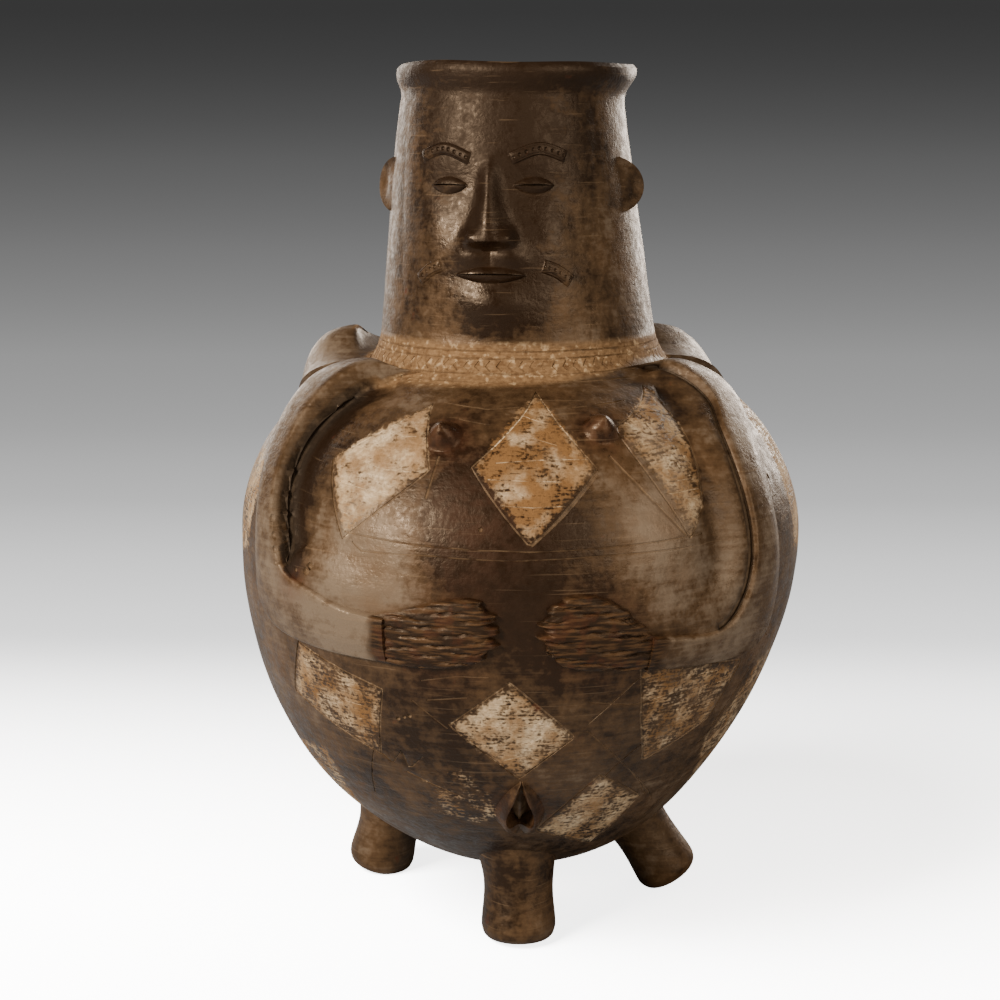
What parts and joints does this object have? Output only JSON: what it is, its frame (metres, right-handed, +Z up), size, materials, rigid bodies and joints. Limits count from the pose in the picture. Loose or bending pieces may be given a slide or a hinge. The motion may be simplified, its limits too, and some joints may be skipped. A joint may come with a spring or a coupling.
{
  "type": "figural ceramic ceremonial vessel",
  "caption": "Hollow dark clay vessel: round belly on stub feet, arms laid on the shoulders with hands meeting over the belly, and a tall neck modelled as a human head, open at the rim.",
  "frame": {"origin": "on the floor under the middle of the pot, level with the soles of the feet", "axes": "+Z up through the neck and rim; the face looks along -Y; +X is on the viewer's right of the front view"},
  "size_m": [0.3, 0.3119, 0.448],
  "materials": {
    "clay": "low-fired dark clay, burnished, with worn white and ochre paint"
  },
  "bodies": {
    "root": {"vessel": "clay"}
  },
  "joints": []
}
